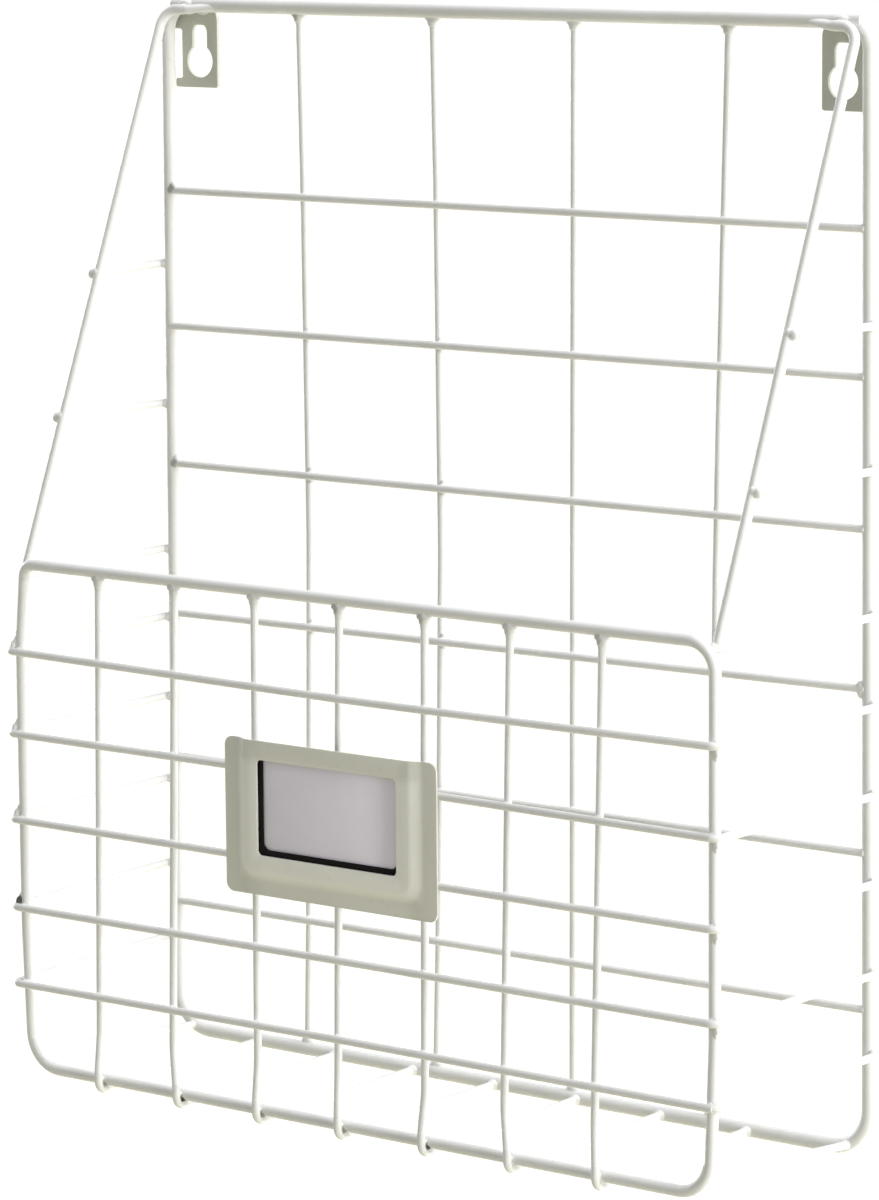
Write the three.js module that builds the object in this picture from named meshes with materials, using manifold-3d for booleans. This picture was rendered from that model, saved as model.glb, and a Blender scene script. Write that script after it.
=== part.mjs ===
// Wall magazine rack: a welded wire basket under a tall wire back, with a label on its front.
// Sizes are in millimetres. +X is right, +Y goes into the wall and +Z is up.
// The finished part's origin is on the wall, midway between the two screws that it hangs on.

import * as THREE from 'three';
import { mergeVertices } from 'three/addons/utils/BufferGeometryUtils.js';
import Module from 'manifold-3d';

const wasm = await Module();
wasm.setup();

// Wire diameters
const backFrameWire = 5.5;
const frontFrameWire = 4.5;
const stayWire = 4;
const gridWire = 3;

// What is left open where two pieces are welded or lie on each other
const seatGap = 0.3;

// Back frame, measured between the axes of its wires. It widens a little towards its foot.
const backWidth = 329;
const backHeight = 416;
const backSplay = 2.3;
const backTopRadius = 10;
const backBottomRadius = 16;

// Back grid. The uprights are sprung out of their even spacing, each by so much to the right
// at its head, its middle and its foot.
const uprightSprings = [
  [-0.3, 3.3, -2.1],
  [-0.6, 3.1, -2.8],
  [0.1, -1.2, -2.4],
  [3.8, -1.9, -3.3],
];
const springBendRadius = 6000;
const firstCrossDrop = 73.8;
const upperCrossCount = 3;
const upperCrossPitch = 54.8;
const lowerCrossCount = 3;
const lastCrossRise = 53;

// How far each cross wire stands above its even height, at its left and its right end
const crossRises = [
  [0.3, -0.2],
  [0.9, 0.9],
  [0.2, 0.2],
  [-0.9, 1.2],
  [0.2, 0],
  [-0.1, 1],
];

// Basket, measured between the axes of the frame wires
const basketDepth = 96;
const frontInset = 1.5;
const frontHeight = 200;
const frontTopRadius = 11;
const frontBottomRadius = 14;
const frontRailRise = 4;

// The front frame's posts are drawn in a little below a soft bend
const frontTuck = 2;
const frontTuckHeight = 56;
const frontTuckRadius = 150;

// Basket wires: down the front, forward over the bottom rail, under it and back to the wall
// side. Each head stands a little to the right, and from there the wire leans to the left until
// it bends forward, by so much on the left of its even place.
const basketWireHeads = [2, 0.5, 0, 0.9, 1.1, 0.3, 1.5];
const basketWireLeans = [1.4, 3.9, 1.4, 2, 0.6, 3.6, 2.6];
const basketWireInset = 44.2;
const basketWireShift = -5.1;
const forwardBendRise = 18;
const forwardBendDrop = 4;
const forwardBendRadius = 20;

// Wraparound wires, each above its even height by so much on its left and on its right, and
// sagging in the middle of the front by its own amount
const wrapRises = [
  [1.3, -0.5],
  [1.6, -0.4],
  [0.4, -0.3],
  [-1.8, -1.5],
  [0.5, 0.6],
];
const wrapSags = [1.4, -0.6, 0, -0.2, -0.6];
const sagBendRadius = 4000;
const firstWrapDrop = 35.5;

// Side wires above the basket, each above its even height by so much at its rear and its front.
// The lowest ends behind the front frame's top corner, so many degrees above the bend's centre.
const sideWirePitch = 55;
const lowestSideDrop = 4.8;
const sideWireOverrun = 3.5;
const leftSideRises = [
  [3.9, 3.5],
  [2.5, 4],
  [-1.6, 0],
];
const rightSideRises = [
  [-1.9, -1.2],
  [0.7, 0],
  [2.4, 0],
];
const lowestSideTurn = 30;

// Foot wires, between the frames' bottom corners, each end so many degrees below its bend's
// centre
const footFrontTurn = 36;
const footRearTurn = 62;

// Sloping stays and their top hooks, which lie on the front of the top rail
const stayTopInset = 2;
const stayHookLength = 11;
const stayHookRadius = 7;
const stayHookDrop = 1.5;

// Hanging tabs, measured from the post's axis inwards and from the top rail's axis down
const tabThickness = 1.5;
const tabOuterEdge = 4.4;
const tabWidth = 18;
const tabTopDrop = 1;
const tabHeight = 31.5;
const tabCornerRadius = 1;
const tabInnerRadius = 4.5;
const tabLugHeight = 3.5;
const tabLugReach = 1;
const tabHeadHeight = 8.5;
const tabHeadRadius = 8;
const screwDrop = 11;
const keySlotWidth = 7.5;
const keyHoleDiameter = 13;
const keyHoleDrop = 22.1;

// Label bezel, a pressed sheet
const labelWidth = 100;
const labelHeight = 59.5;
const labelRadius = 3.5;
const labelSheet = 0.9;
const pressRise = 2.3;
const pressSlope = 5.8;
const pressLand = 5.2;
const pressRadius = 3.5;
const windowWidth = 66;
const windowHeight = 36.5;
const windowRadius = 2;
const windowTopMargin = 7.2;

// Label carrier, a black plastic channel behind the window
const carrierWall = 0.6;
const carrierLip = 0.5;
const carrierRim = 1.5;
const carrierShift = 0.75;
const sightSideInset = 1.35;
const sightBottomInset = 2.2;
const sightRadius = 3;
const carrierTopDrop = 1;

// Label card
const cardThickness = 0.5;
const cardCover = 2;
const cardSideClearance = 0.3;
const cardTopDrop = 1.5;
const cardRadius = 1;

// Facets
const wireSides = 12;
const frameSides = 16;
const bendStep = Math.PI / 12;
const cornerSegments = 6;
const holeSegments = 12;

// Worked out from the sizes above
const backFrameR = backFrameWire / 2;
const frontFrameR = frontFrameWire / 2;
const stayR = stayWire / 2;
const gridR = gridWire / 2;
const backHalf = backWidth / 2;
const frontHalf = backHalf - frontInset;
const frontBottomZ = frontRailRise;
const frontTopZ = frontRailRise + frontHeight;
const frontOffset = frontFrameR + gridR + seatGap;
const backOffset = backFrameR + gridR + seatGap;
const gridLayer = gridWire + seatGap;
const wrapY = -basketDepth - frontOffset;
const basketWireY = wrapY + gridLayer;
const basketWireCount = basketWireLeans.length;
const basketWirePitch = (2 * (frontHalf - basketWireInset)) / (basketWireCount - 1);
const wrapCount = wrapSags.length;
const wrapPitch = (frontHeight - firstWrapDrop) / wrapCount;
const screwZ = backHeight - screwDrop;
const wallY = backFrameR + seatGap + tabThickness;

const white = 0xe9e8df;

function point(x, y, z) {
  return new THREE.Vector3(x, y, z);
}

// A wire's centre line. Each station has a place and a direction, and every ring of the
// wire's skin stands on one station, so straight runs stay long and only the bends are fine.
class WirePath extends THREE.Curve {
  constructor(stations, isLoop = false) {
    super();
    this.stations = stations;
    this.spans = isLoop ? stations.length : stations.length - 1;
  }

  station(u) {
    return this.stations[Math.round(u * this.spans) % this.stations.length];
  }

  getPoint(u, target = new THREE.Vector3()) {
    return target.copy(this.station(u).place);
  }

  getPointAt(u, target) {
    return this.getPoint(u, target);
  }

  getTangent(u, target = new THREE.Vector3()) {
    return target.copy(this.station(u).direction);
  }

  getTangentAt(u, target) {
    return this.getTangent(u, target);
  }
}

// The stations of one bend at a corner between the points before and after it
function bendStations(before, corner, after, radius) {
  const into = corner.clone().sub(before).normalize();
  const out = after.clone().sub(corner).normalize();
  const turn = into.angleTo(out);
  const tangentLength = radius * Math.tan(turn / 2);
  const inward = out.clone().sub(into).normalize();
  const centre = corner.clone().addScaledVector(inward, radius / Math.cos(turn / 2));
  const start = corner.clone().addScaledVector(into, -tangentLength);
  const axis = into.clone().cross(out).normalize();
  const arm = start.clone().sub(centre);
  const steps = Math.max(2, Math.ceil(turn / bendStep));
  const stations = [];
  for (let i = 0; i <= steps; i += 1) {
    const angle = (turn * i) / steps;
    stations.push({
      place: arm.clone().applyAxisAngle(axis, angle).add(centre),
      direction: into.clone().applyAxisAngle(axis, angle),
    });
  }
  return stations;
}

// An open wire through its corners, with a bend radius for each corner between the two ends
function openPath(corners, radii) {
  const last = corners.length - 1;
  const directionOf = (i) => corners[i + 1].clone().sub(corners[i]).normalize();
  const stations = [{ place: corners[0], direction: directionOf(0) }];
  for (let i = 1; i < last; i += 1) {
    stations.push(...bendStations(corners[i - 1], corners[i], corners[i + 1], radii[i - 1]));
  }
  stations.push({ place: corners[last], direction: directionOf(last - 1) });
  return new WirePath(stations);
}

// A closed wire through its corners, with a bend radius for each
function loopPath(corners, radii) {
  const count = corners.length;
  const stations = corners.flatMap((corner, i) => bendStations(
    corners[(i + count - 1) % count],
    corner,
    corners[(i + 1) % count],
    radii[i],
  ));
  return new WirePath(stations, true);
}

function circleShape(radius, sides) {
  const corners = [];
  for (let i = 0; i < sides; i += 1) {
    const angle = (2 * Math.PI * i) / sides;
    corners.push(new THREE.Vector2(radius * Math.cos(angle), radius * Math.sin(angle)));
  }
  return new THREE.Shape(corners);
}

function openWire(path, radius, sides = wireSides) {
  return new THREE.ExtrudeGeometry(circleShape(radius, sides), {
    steps: path.spans,
    extrudePath: path,
    bevelEnabled: false,
  });
}

function straightWire(from, to, radius = gridR) {
  return openWire(openPath([from, to], []), radius);
}

function closedWire(path, radius) {
  return new THREE.TubeGeometry(path, path.spans, radius, frameSides, true);
}

// The points of a flat outline through its corners, each with a radius, where 0 leaves it sharp
function roundedOutline(corners, radii) {
  const count = corners.length;
  return corners.flatMap((corner, i) => {
    if (radii[i] === 0) {
      return [corner];
    }
    const into = corner.clone().sub(corners[(i + count - 1) % count]).normalize();
    const out = corners[(i + 1) % count].clone().sub(corner).normalize();
    const turn = Math.atan2(into.cross(out), into.dot(out));
    const inward = out.clone().sub(into).normalize();
    const centre = corner.clone().addScaledVector(inward, radii[i] / Math.cos(turn / 2));
    const start = corner.clone().addScaledVector(into, -radii[i] * Math.tan(Math.abs(turn) / 2));
    const points = [];
    for (let step = 0; step <= cornerSegments; step += 1) {
      points.push(start.clone().rotateAround(centre, (turn * step) / cornerSegments));
    }
    return points;
  });
}

function rectangleOutline(left, right, bottom, top, bottomRadius, topRadius = bottomRadius) {
  const corners = [
    new THREE.Vector2(left, bottom),
    new THREE.Vector2(right, bottom),
    new THREE.Vector2(right, top),
    new THREE.Vector2(left, top),
  ];
  return roundedOutline(corners, [bottomRadius, bottomRadius, topRadius, topRadius]);
}

// A plate standing upright: its outline is drawn in X and Z, from one Y towards the room
function uprightPlate(outline, wallSide, thickness, holes = []) {
  const shape = new THREE.Shape(outline);
  shape.holes.push(...holes);
  const geometry = new THREE.ExtrudeGeometry(shape, {
    depth: thickness,
    bevelEnabled: false,
    curveSegments: holeSegments,
  });
  geometry.rotateX(Math.PI / 2);
  geometry.translate(0, wallSide, 0);
  return geometry;
}

// A closed skin over a stack of rings that all have as many points
function ringStack(rings) {
  const count = rings[0].length;
  const places = rings.flat().flatMap((p) => [p.x, p.y, p.z]);
  const faces = [];
  for (let ring = 0; ring < rings.length - 1; ring += 1) {
    for (let i = 0; i < count; i += 1) {
      const a = ring * count + i;
      const b = ring * count + ((i + 1) % count);
      faces.push(a, b, b + count, a, b + count, a + count);
    }
  }
  const lastRing = (rings.length - 1) * count;
  for (let i = 1; i < count - 1; i += 1) {
    faces.push(0, i + 1, i);
    faces.push(lastRing, lastRing + i, lastRing + i + 1);
  }
  const geometry = new THREE.BufferGeometry();
  geometry.setAttribute('position', new THREE.Float32BufferAttribute(places, 3));
  geometry.setIndex(faces);
  return geometry;
}

function toSolid(geometry) {
  const bare = geometry.clone();
  bare.deleteAttribute('normal');
  bare.deleteAttribute('uv');
  const merged = mergeVertices(bare, 1e-4);
  return new wasm.Manifold(new wasm.Mesh({
    numProp: 3,
    vertProperties: new Float32Array(merged.attributes.position.array),
    triVerts: new Uint32Array(merged.index.array),
  }));
}

function toGeometry(solid) {
  const mesh = solid.getMesh();
  const geometry = new THREE.BufferGeometry();
  geometry.setAttribute('position', new THREE.Float32BufferAttribute(mesh.vertProperties, 3));
  geometry.setIndex(Array.from(mesh.triVerts));
  geometry.computeVertexNormals();
  return geometry;
}

const rack = new THREE.Group();

function addPiece(name, geometry, color = white, roughness = 0.5) {
  const material = new THREE.MeshStandardMaterial({ color, roughness, metalness: 0 });
  const mesh = new THREE.Mesh(geometry, material);
  mesh.name = name;
  rack.add(mesh);
}

// Pieces that come in pairs: side is -1 for the left one and 1 for the right one
const sides = [['left', -1], ['right', 1]];

// Half the back frame's width at a height
function backHalfAt(z) {
  return backHalf + backSplay * (1 - z / backHeight);
}

// Back frame: one bent wire, its corners tighter at the top than at the bottom
function backFrame() {
  const corners = [
    point(-backHalfAt(0), 0, 0),
    point(backHalfAt(0), 0, 0),
    point(backHalf, 0, backHeight),
    point(-backHalf, 0, backHeight),
  ];
  const radii = [backBottomRadius, backBottomRadius, backTopRadius, backTopRadius];
  return closedWire(loopPath(corners, radii), backFrameR);
}

addPiece('back_frame', backFrame());

// Back grid: the cross wires on the room side, the uprights on the wall side
const buttGap = backFrameR + seatGap;

uprightSprings.forEach((springs, i) => {
  const x = -backHalf + ((i + 1) * backWidth) / (uprightSprings.length + 1);
  const heights = [backHeight - buttGap, backHeight / 2, buttGap];
  const corners = heights.map((z, place) => point(x + springs[place], gridLayer / 2, z));
  addPiece(`back_upright_${i + 1}`, openWire(openPath(corners, [springBendRadius]), gridR));
});

const lowestUpperCross = backHeight - firstCrossDrop - (upperCrossCount - 1) * upperCrossPitch;
const lowerCrossPitch = (lowestUpperCross - lastCrossRise) / lowerCrossCount;
const crossHeights = [];
for (let i = 0; i < upperCrossCount; i += 1) {
  crossHeights.push(backHeight - firstCrossDrop - i * upperCrossPitch);
}
for (let i = 1; i <= lowerCrossCount; i += 1) {
  crossHeights.push(lowestUpperCross - i * lowerCrossPitch);
}
crossHeights.forEach((z, i) => {
  const [left, right] = sides.map(([, side], end) => {
    const height = z + crossRises[i][end];
    return point(side * (backHalfAt(height) - buttGap), -gridLayer / 2, height);
  });
  addPiece(`back_cross_${i + 1}`, straightWire(left, right));
});

// Hanging tabs: plates on the wall side of the frame's top corners. The head follows the bend
// of the frame, a lug at the foot reaches behind the post, and between them the plate stands
// clear of the post.
function tabOutline(side) {
  const across = (inset) => side * (backHalf - inset);
  const top = backHeight - tabTopDrop;
  const inner = tabOuterEdge + tabWidth;
  const corners = [
    new THREE.Vector2(across(inner), top),
    new THREE.Vector2(across(inner), top - tabHeight),
    new THREE.Vector2(across(tabLugReach), top - tabHeight),
    new THREE.Vector2(across(tabLugReach), top - tabHeight + tabLugHeight),
    new THREE.Vector2(across(tabOuterEdge), top - tabHeight + tabLugHeight),
    new THREE.Vector2(across(tabOuterEdge), top - tabHeadHeight),
    new THREE.Vector2(across(0), top - tabHeadHeight),
    new THREE.Vector2(across(0), top),
  ];
  const r = tabCornerRadius;
  return roundedOutline(corners, [tabInnerRadius, r, r, r, r, r, 0, tabHeadRadius]);
}

// A round hole for the screw's head, with a narrower slot above it for the shank
function keyhole(side) {
  const x = side * (backHalf - tabOuterEdge - tabWidth / 2);
  const slotZ = backHeight - screwDrop;
  const holeZ = backHeight - keyHoleDrop;
  const slotR = keySlotWidth / 2;
  const holeR = keyHoleDiameter / 2;
  const meet = Math.asin(slotR / holeR);
  const outline = new THREE.Path();
  outline.absarc(x, slotZ, slotR, 0, Math.PI, false);
  outline.absarc(x, holeZ, holeR, Math.PI / 2 + meet, 2.5 * Math.PI - meet, false);
  outline.closePath();
  return outline;
}

for (const [name, side] of sides) {
  const plate = uprightPlate(tabOutline(side), wallY, tabThickness, [keyhole(side)]);
  addPiece(`hanging_tab_${name}`, plate);
}

// Front frame
const tuckedHalf = frontHalf - frontTuck;

function frontFrame() {
  const tuckZ = frontBottomZ + frontTuckHeight;
  const corners = [
    point(-tuckedHalf, -basketDepth, frontBottomZ),
    point(tuckedHalf, -basketDepth, frontBottomZ),
    point(frontHalf, -basketDepth, tuckZ),
    point(frontHalf, -basketDepth, frontTopZ),
    point(-frontHalf, -basketDepth, frontTopZ),
    point(-frontHalf, -basketDepth, tuckZ),
  ];
  const radii = [
    frontBottomRadius,
    frontBottomRadius,
    frontTuckRadius,
    frontTopRadius,
    frontTopRadius,
    frontTuckRadius,
  ];
  return closedWire(loopPath(corners, radii), frontFrameR);
}

addPiece('front_frame', frontFrame());

// Sloping stays: from a hook low on the front of the top rail, down to the outer rear side of
// the front frame's rounded corner
const hookOffset = backFrameR + stayR + seatGap;
const stayTop = point(
  backHalf - stayTopInset,
  -Math.sqrt(hookOffset ** 2 - stayHookDrop ** 2),
  backHeight - stayHookDrop,
);
const footOffset = (frontFrameR + stayR + seatGap) * Math.SQRT1_2;
const footReach = (frontTopRadius + footOffset) * Math.SQRT1_2;
const stayFoot = point(
  frontHalf - frontTopRadius + footReach,
  -basketDepth + footOffset,
  frontTopZ - frontTopRadius + footReach,
);

function mirrored(place, side) {
  return point(side * place.x, place.y, place.z);
}

for (const [name, side] of sides) {
  const hookEnd = point(stayTop.x - stayHookLength, stayTop.y, stayTop.z);
  const corners = [hookEnd, stayTop, stayFoot].map((place) => mirrored(place, side));
  addPiece(`stay_${name}`, openWire(openPath(corners, [stayHookRadius]), stayR));
}

// Basket wires: each hangs from the front frame's top rail behind the wraparound wires, bends
// forward over the bottom rail, closely round under it, and runs back to the rear rail
for (let i = 1; i <= basketWireCount; i += 1) {
  const x = basketWireShift + (i - (basketWireCount + 1) / 2) * basketWirePitch;
  const headX = x + basketWireHeads[i - 1];
  const leanX = x - basketWireLeans[i - 1];
  const outerY = -basketDepth - frontOffset;
  const floorZ = frontBottomZ - frontOffset;
  const corners = [
    point(headX, basketWireY, frontTopZ - frontFrameR - seatGap),
    point(leanX, basketWireY, frontBottomZ + forwardBendRise),
    point(x, outerY, frontBottomZ + forwardBendDrop),
    point(x, outerY, floorZ),
    point(x, -buttGap, floorZ),
  ];
  const path = openPath(corners, [forwardBendRadius, forwardBendRadius, frontOffset]);
  addPiece(`basket_wire_${i}`, openWire(path, gridR));
}

// Wraparound wires: along the outside of the posts and close round the front ones
const wrapHeights = [];
for (let i = 0; i < wrapCount; i += 1) {
  wrapHeights.push(frontTopZ - firstWrapDrop - i * wrapPitch);
}

// The place on the straight line through two places at a given depth
function atDepth(near, far, y) {
  const share = (y - near.y) / (far.y - near.y);
  return near.clone().lerp(far, share);
}

// A place on the outside of a back post or of a front post
function besideBackPost(side, z) {
  return point(side * (backHalfAt(z) + backOffset), 0, z);
}

function besideFrontPost(side, z) {
  return point(side * (frontHalf + frontOffset), -basketDepth, z);
}

wrapHeights.forEach((z, i) => {
  const middle = point(0, wrapY, z - wrapSags[i]);
  const [left, right] = sides.map(([, side], end) => {
    const height = z + wrapRises[i][end];
    const back = besideBackPost(side, height);
    const front = besideFrontPost(side, height);
    return { end: atDepth(back, front, backFrameR), corner: atDepth(back, front, wrapY) };
  });
  middle.z += (wrapRises[i][0] + wrapRises[i][1]) / 2;
  const corners = [left.end, left.corner, middle, right.corner, right.end];
  const path = openPath(corners, [frontOffset, sagBendRadius, frontOffset]);
  addPiece(`wrap_wire_${i + 1}`, openWire(path, gridR));
});

// A place on the axis of a frame's bend, by its turn out of the level through the bend's centre
function onBend(half, centreZ, y, radius, degrees) {
  const turn = THREE.MathUtils.degToRad(degrees);
  return point(half - radius + radius * Math.cos(turn), y, centreZ + radius * Math.sin(turn));
}

const behindFrontFrame = -basketDepth + frontFrameR + seatGap;

// Side wires above the basket: each lies on the outside of the back post and of the stay,
// except the lowest, which butts against the back of the front frame's top corner
function stayAtHeight(z) {
  const share = (stayTop.z - z) / (stayTop.z - stayFoot.z);
  return stayTop.clone().lerp(stayFoot, share);
}

function lowestSideSeat() {
  const centreZ = frontTopZ - frontTopRadius;
  return onBend(frontHalf, centreZ, behindFrontFrame, frontTopRadius, lowestSideTurn);
}

for (const [name, side] of sides) {
  const rises = side < 0 ? leftSideRises : rightSideRises;
  rises.forEach(([rearRise, frontRise], i) => {
    const isLowest = i === rises.length - 1;
    const z = frontTopZ - lowestSideDrop + (rises.length - 1 - i) * sideWirePitch;
    const besidePost = besideBackPost(side, z + rearRise);
    const besideStay = stayAtHeight(z + frontRise).add(point(stayR + gridR + seatGap, 0, 0));
    const seat = mirrored(isLowest ? lowestSideSeat() : besideStay, side);
    const front = isLowest ? seat : atDepth(besidePost, seat, seat.y - sideWireOverrun);
    const rear = atDepth(besidePost, seat, backFrameR);
    addPiece(`side_wire_${name}_${i + 1}`, straightWire(rear, front));
  });
}

// Foot wires: from the front of the back frame's bottom corners to the back of the front frame's
for (const [name, side] of sides) {
  const rear = onBend(
    backHalfAt(0),
    backBottomRadius,
    -buttGap,
    backBottomRadius,
    -footRearTurn,
  );
  const front = onBend(
    tuckedHalf,
    frontBottomZ + frontBottomRadius,
    behindFrontFrame,
    frontBottomRadius,
    -footFrontTurn,
  );
  addPiece(`foot_wire_${name}`, straightWire(mirrored(rear, side), mirrored(front, side)));
}

// Label: it hangs on the second and third wraparound wires, centred on the middle basket wire
const labelX = basketWireShift;
const labelZ = (wrapHeights[1] + wrapHeights[2]) / 2;
const labelBackY = wrapY - gridR - seatGap;
const labelTop = labelZ + labelHeight / 2;
const labelBottom = labelZ - labelHeight / 2;
const windowTop = labelTop - windowTopMargin;
const windowBottom = windowTop - windowHeight;
const pressBottom = windowBottom - pressLand - pressSlope;
const pressHalf = windowWidth / 2 + pressLand + pressSlope;

function labelOutline() {
  return rectangleOutline(
    labelX - labelWidth / 2,
    labelX + labelWidth / 2,
    labelBottom,
    labelTop,
    labelRadius,
  );
}

// The pressed form as a stack of rounded outlines, drawn in and raised along a smooth slope.
// It runs on past the top edge, so that cutting it there leaves the pocket open upwards.
function pressedForm(foot) {
  const slopeSteps = 6;
  const past = 2 * pressSlope;
  const ring = (inset, y) => {
    const outline = rectangleOutline(
      labelX - pressHalf + inset,
      labelX + pressHalf - inset,
      pressBottom + inset,
      labelTop + past - inset,
      pressRadius + pressSlope - inset,
    );
    return outline.map((p) => point(p.x, y, p.y));
  };
  const rings = [ring(0, labelBackY + labelSheet)];
  for (let i = 0; i <= slopeSteps; i += 1) {
    const share = i / slopeSteps;
    const raised = pressRise * THREE.MathUtils.smoothstep(share, 0, 1);
    rings.push(ring(share * pressSlope, foot - raised));
  }
  return toSolid(ringStack(rings));
}

function labelBezel() {
  const flat = toSolid(uprightPlate(labelOutline(), labelBackY, labelSheet));
  const trim = toSolid(uprightPlate(labelOutline(), labelBackY, labelSheet + 2 * pressRise));
  const windowOutline = rectangleOutline(
    labelX - windowWidth / 2,
    labelX + windowWidth / 2,
    windowBottom,
    windowTop,
    windowRadius,
  );
  const cutDepth = labelSheet + 3 * pressRise;
  const opening = toSolid(uprightPlate(windowOutline, labelBackY + pressRise, cutDepth));
  const raised = pressedForm(labelBackY - labelSheet).intersect(trim);
  const pocket = pressedForm(labelBackY);
  return toGeometry(flat.add(raised).subtract(pocket).subtract(opening));
}

addPiece('label_bezel', labelBezel(), 0xc4c4b2, 0.35);

// Label carrier: a flat channel in the pocket. The card slides in it between a back wall and
// the lips that show as a dark line inside the window.
const carrierX = labelX + carrierShift;
const carrierDepth = pressRise - seatGap;
const sightHalf = windowWidth / 2 - sightSideInset;
const sightBottom = windowBottom + sightBottomInset;
const cardHalf = sightHalf + cardCover;
const cardBottom = sightBottom - cardCover;
const channelHalf = cardHalf + cardSideClearance;
const channelBottom = cardBottom - seatGap;
const carrierHalf = channelHalf + carrierRim;
const carrierBottom = channelBottom - carrierRim;
const channelDepth = carrierDepth - carrierWall - carrierLip;

function carrierBlank(half, bottom, top, radius) {
  return rectangleOutline(carrierX - half, carrierX + half, bottom, top, radius, 0);
}

function labelCarrier() {
  const past = labelTop + carrierRim;
  const blank = carrierBlank(carrierHalf, carrierBottom, labelTop - carrierTopDrop, carrierRim);
  const channel = carrierBlank(channelHalf, channelBottom, past, cardRadius);
  const sight = carrierBlank(sightHalf, sightBottom, past, sightRadius);
  const channelY = labelBackY - carrierWall;
  return toGeometry(
    toSolid(uprightPlate(blank, labelBackY, carrierDepth))
      .subtract(toSolid(uprightPlate(channel, channelY, channelDepth)))
      .subtract(toSolid(uprightPlate(sight, channelY, carrierDepth))),
  );
}

addPiece('label_carrier', labelCarrier(), 0x15130f, 0.6);

// Label card: it rests on the channel's floor and slides up
function labelCard() {
  const outline = carrierBlank(cardHalf, cardBottom, labelTop - cardTopDrop, cardRadius);
  const play = (channelDepth - cardThickness) / 2;
  return uprightPlate(outline, labelBackY - carrierWall - play, cardThickness);
}

addPiece('label_card', labelCard(), 0xbcb4b9, 0.7);

rack.position.set(0, -wallY, -screwZ);

export default rack;
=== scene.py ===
# Wall magazine rack: powder-coated wires, welds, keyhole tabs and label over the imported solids

import math

import bpy
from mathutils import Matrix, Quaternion, Vector


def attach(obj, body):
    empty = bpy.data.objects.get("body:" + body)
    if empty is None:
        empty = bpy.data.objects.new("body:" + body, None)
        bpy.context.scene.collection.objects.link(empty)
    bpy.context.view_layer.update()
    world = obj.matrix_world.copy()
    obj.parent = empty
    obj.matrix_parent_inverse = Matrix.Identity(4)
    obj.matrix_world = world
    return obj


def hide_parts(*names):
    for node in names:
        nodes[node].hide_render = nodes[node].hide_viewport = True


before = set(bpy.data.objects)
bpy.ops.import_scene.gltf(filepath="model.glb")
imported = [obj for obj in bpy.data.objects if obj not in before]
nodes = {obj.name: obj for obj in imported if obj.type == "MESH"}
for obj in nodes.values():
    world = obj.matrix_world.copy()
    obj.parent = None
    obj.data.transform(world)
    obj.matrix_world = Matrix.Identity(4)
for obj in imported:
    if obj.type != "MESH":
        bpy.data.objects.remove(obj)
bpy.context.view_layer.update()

# All places are in metres: +X is right, +Y goes into the wall and +Z is up
MM = 0.001

# The wall and the top screws, seen from the middle of the back frame's bottom rail
WALL_Y = 4.55
SCREW_Z = 405.0

# Wire radii
BACK_R = 2.75
FRONT_R = 2.25
STAY_R = 2.0
GRID_R = 1.5
GAP = 0.3

# Frames, between their wires' axes, with the left front post leaning in above its lean's foot
BACK_HALF = 164.5
BACK_SPLAY = 2.3
BACK_HEIGHT = 416.0
BACK_FOOT_RADIUS = 16.0
BACK_TOP_RADIUS = 10.0
FRONT_HALF = 163.0
FRONT_Y = -96.0
FRONT_FOOT = 4.0
FRONT_TOP = 204.0
FRONT_TUCK = 2.0
FRONT_TUCK_TOP = 60.0
FRONT_LEAN = 2.6
FRONT_LEAN_FOOT = 172.0
FRONT_TOP_RADIUS = 11.0
FRONT_TOP_LEFT_RADIUS = 5.0
FRONT_FOOT_RADIUS = 14.0
POST_BEND_RADIUS = 150.0

# Uprights: how far each is sprung to the right at its head, its middle and its foot
UPRIGHT_PITCH = 65.8
UPRIGHT_SPRINGS = [(-0.3, 3.3, -2.1), (-0.6, 3.1, -2.8), (0.1, -1.2, -2.4), (3.8, -1.9, -3.3)]
SPRING_RADIUS = 6000.0

# Cross wires: how far the left and the right end of each stand above its even height
CROSS_TOP = 342.2
CROSS_KNEE = 232.6
CROSS_FOOT = 53.0
CROSS_HEIGHTS = [CROSS_TOP + (CROSS_KNEE - CROSS_TOP) * i / 2 for i in range(3)]
CROSS_HEIGHTS += [CROSS_KNEE + (CROSS_FOOT - CROSS_KNEE) * i / 3 for i in (1, 2, 3)]
CROSS_RISES = [(0.3, -0.2), (0.9, 0.9), (0.2, 0.2), (-0.9, 1.2), (0.2, 0.0), (-0.1, 1.0)]

# Basket wires: the head of each stands a little to the right, and it leans to the left below
BASKET_MIDDLE = -5.1
BASKET_WIRE_PITCH = 39.6
BASKET_WIRE_X = [BASKET_MIDDLE + BASKET_WIRE_PITCH * i for i in range(-3, 4)]
BASKET_WIRE_HEADS = [2.0, 0.5, 0.0, 0.9, 1.1, 0.3, 1.5]
BASKET_WIRE_LEANS = [1.4, 3.9, 1.4, 2.0, 0.6, 3.6, 2.6]
FORWARD_RISE = 18.0
FORWARD_DROP = 4.0
FORWARD_RADIUS = 20.0

# Wraparound wires: how far each stands above its even height at both sides, and sags between
WRAP_TOP = 168.5
WRAP_PITCH = 32.9
WRAP_HEIGHTS = [WRAP_TOP - WRAP_PITCH * i for i in range(5)]
WRAP_RISES = [(1.3, -0.5), (1.6, -0.4), (0.4, -0.3), (-1.8, -1.5), (0.5, 0.6)]
WRAP_SAGS = [1.4, -0.6, 0.0, -0.2, -0.6]
SAG_RADIUS = 4000.0

# Stays, and the hooks at their tops
STAY_INSET = 2.0
HOOK_LENGTH = 11.0
HOOK_RADIUS = 7.0
HOOK_DROP = 1.5

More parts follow.
